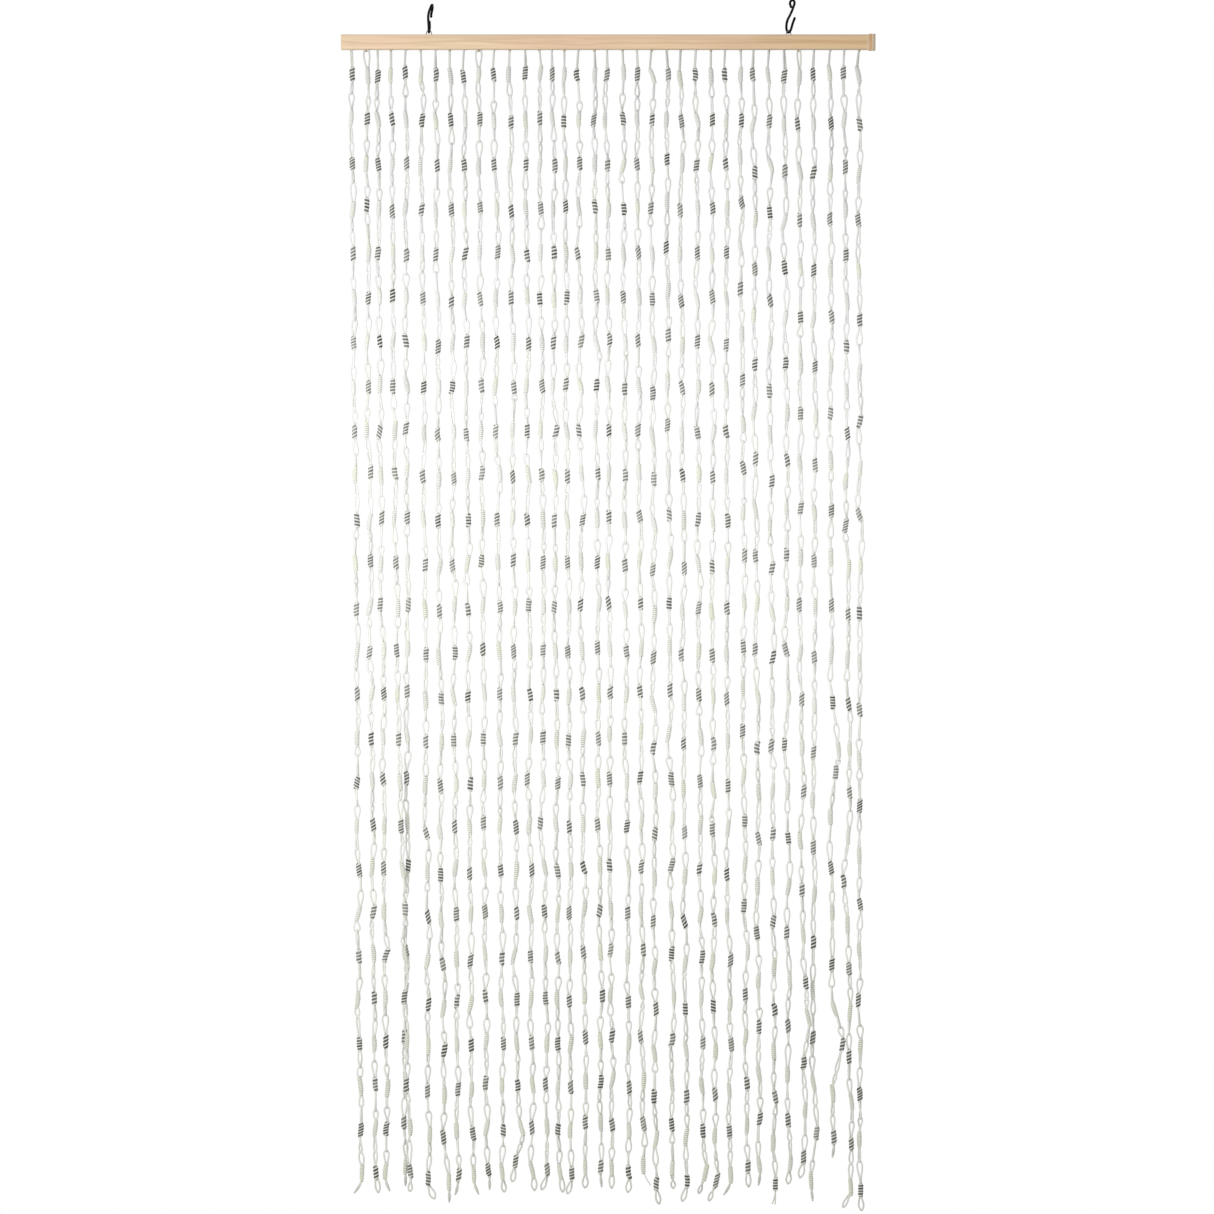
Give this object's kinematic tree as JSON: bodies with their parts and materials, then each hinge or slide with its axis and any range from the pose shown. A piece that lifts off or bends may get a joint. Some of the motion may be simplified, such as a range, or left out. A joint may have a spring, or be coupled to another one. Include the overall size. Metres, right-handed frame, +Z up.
{
  "type": "paper door curtain on a wooden batten with two wire hooks",
  "caption": "String door curtain of looped paper cord with coiled beads, under a pine batten that hangs on two black wire hooks.",
  "frame": {"origin": "over the batten's middle, at about the height of the insides of the two hooks' upper bends, by which the curtain hangs", "axes": "+X to the right along the batten as seen from the front, +Y from the front to the back, +Z up"},
  "size_m": [0.9, 0.0238, 2.0408],
  "materials": {
    "pine": "planed, unvarnished",
    "bright_wire": "drawn wire",
    "black_wire": "satin black",
    "paper_cord": "twisted, matt"
  },
  "bodies": {
    "root": {"batten": "pine", "end_block": "pine", "eye_left": "bright_wire", "eye_right": "bright_wire", "hook_left": "black_wire", "hook_right": "black_wire", "strings_left": "paper_cord", "strings_middle": "paper_cord", "strings_right": "paper_cord"}
  },
  "joints": []
}
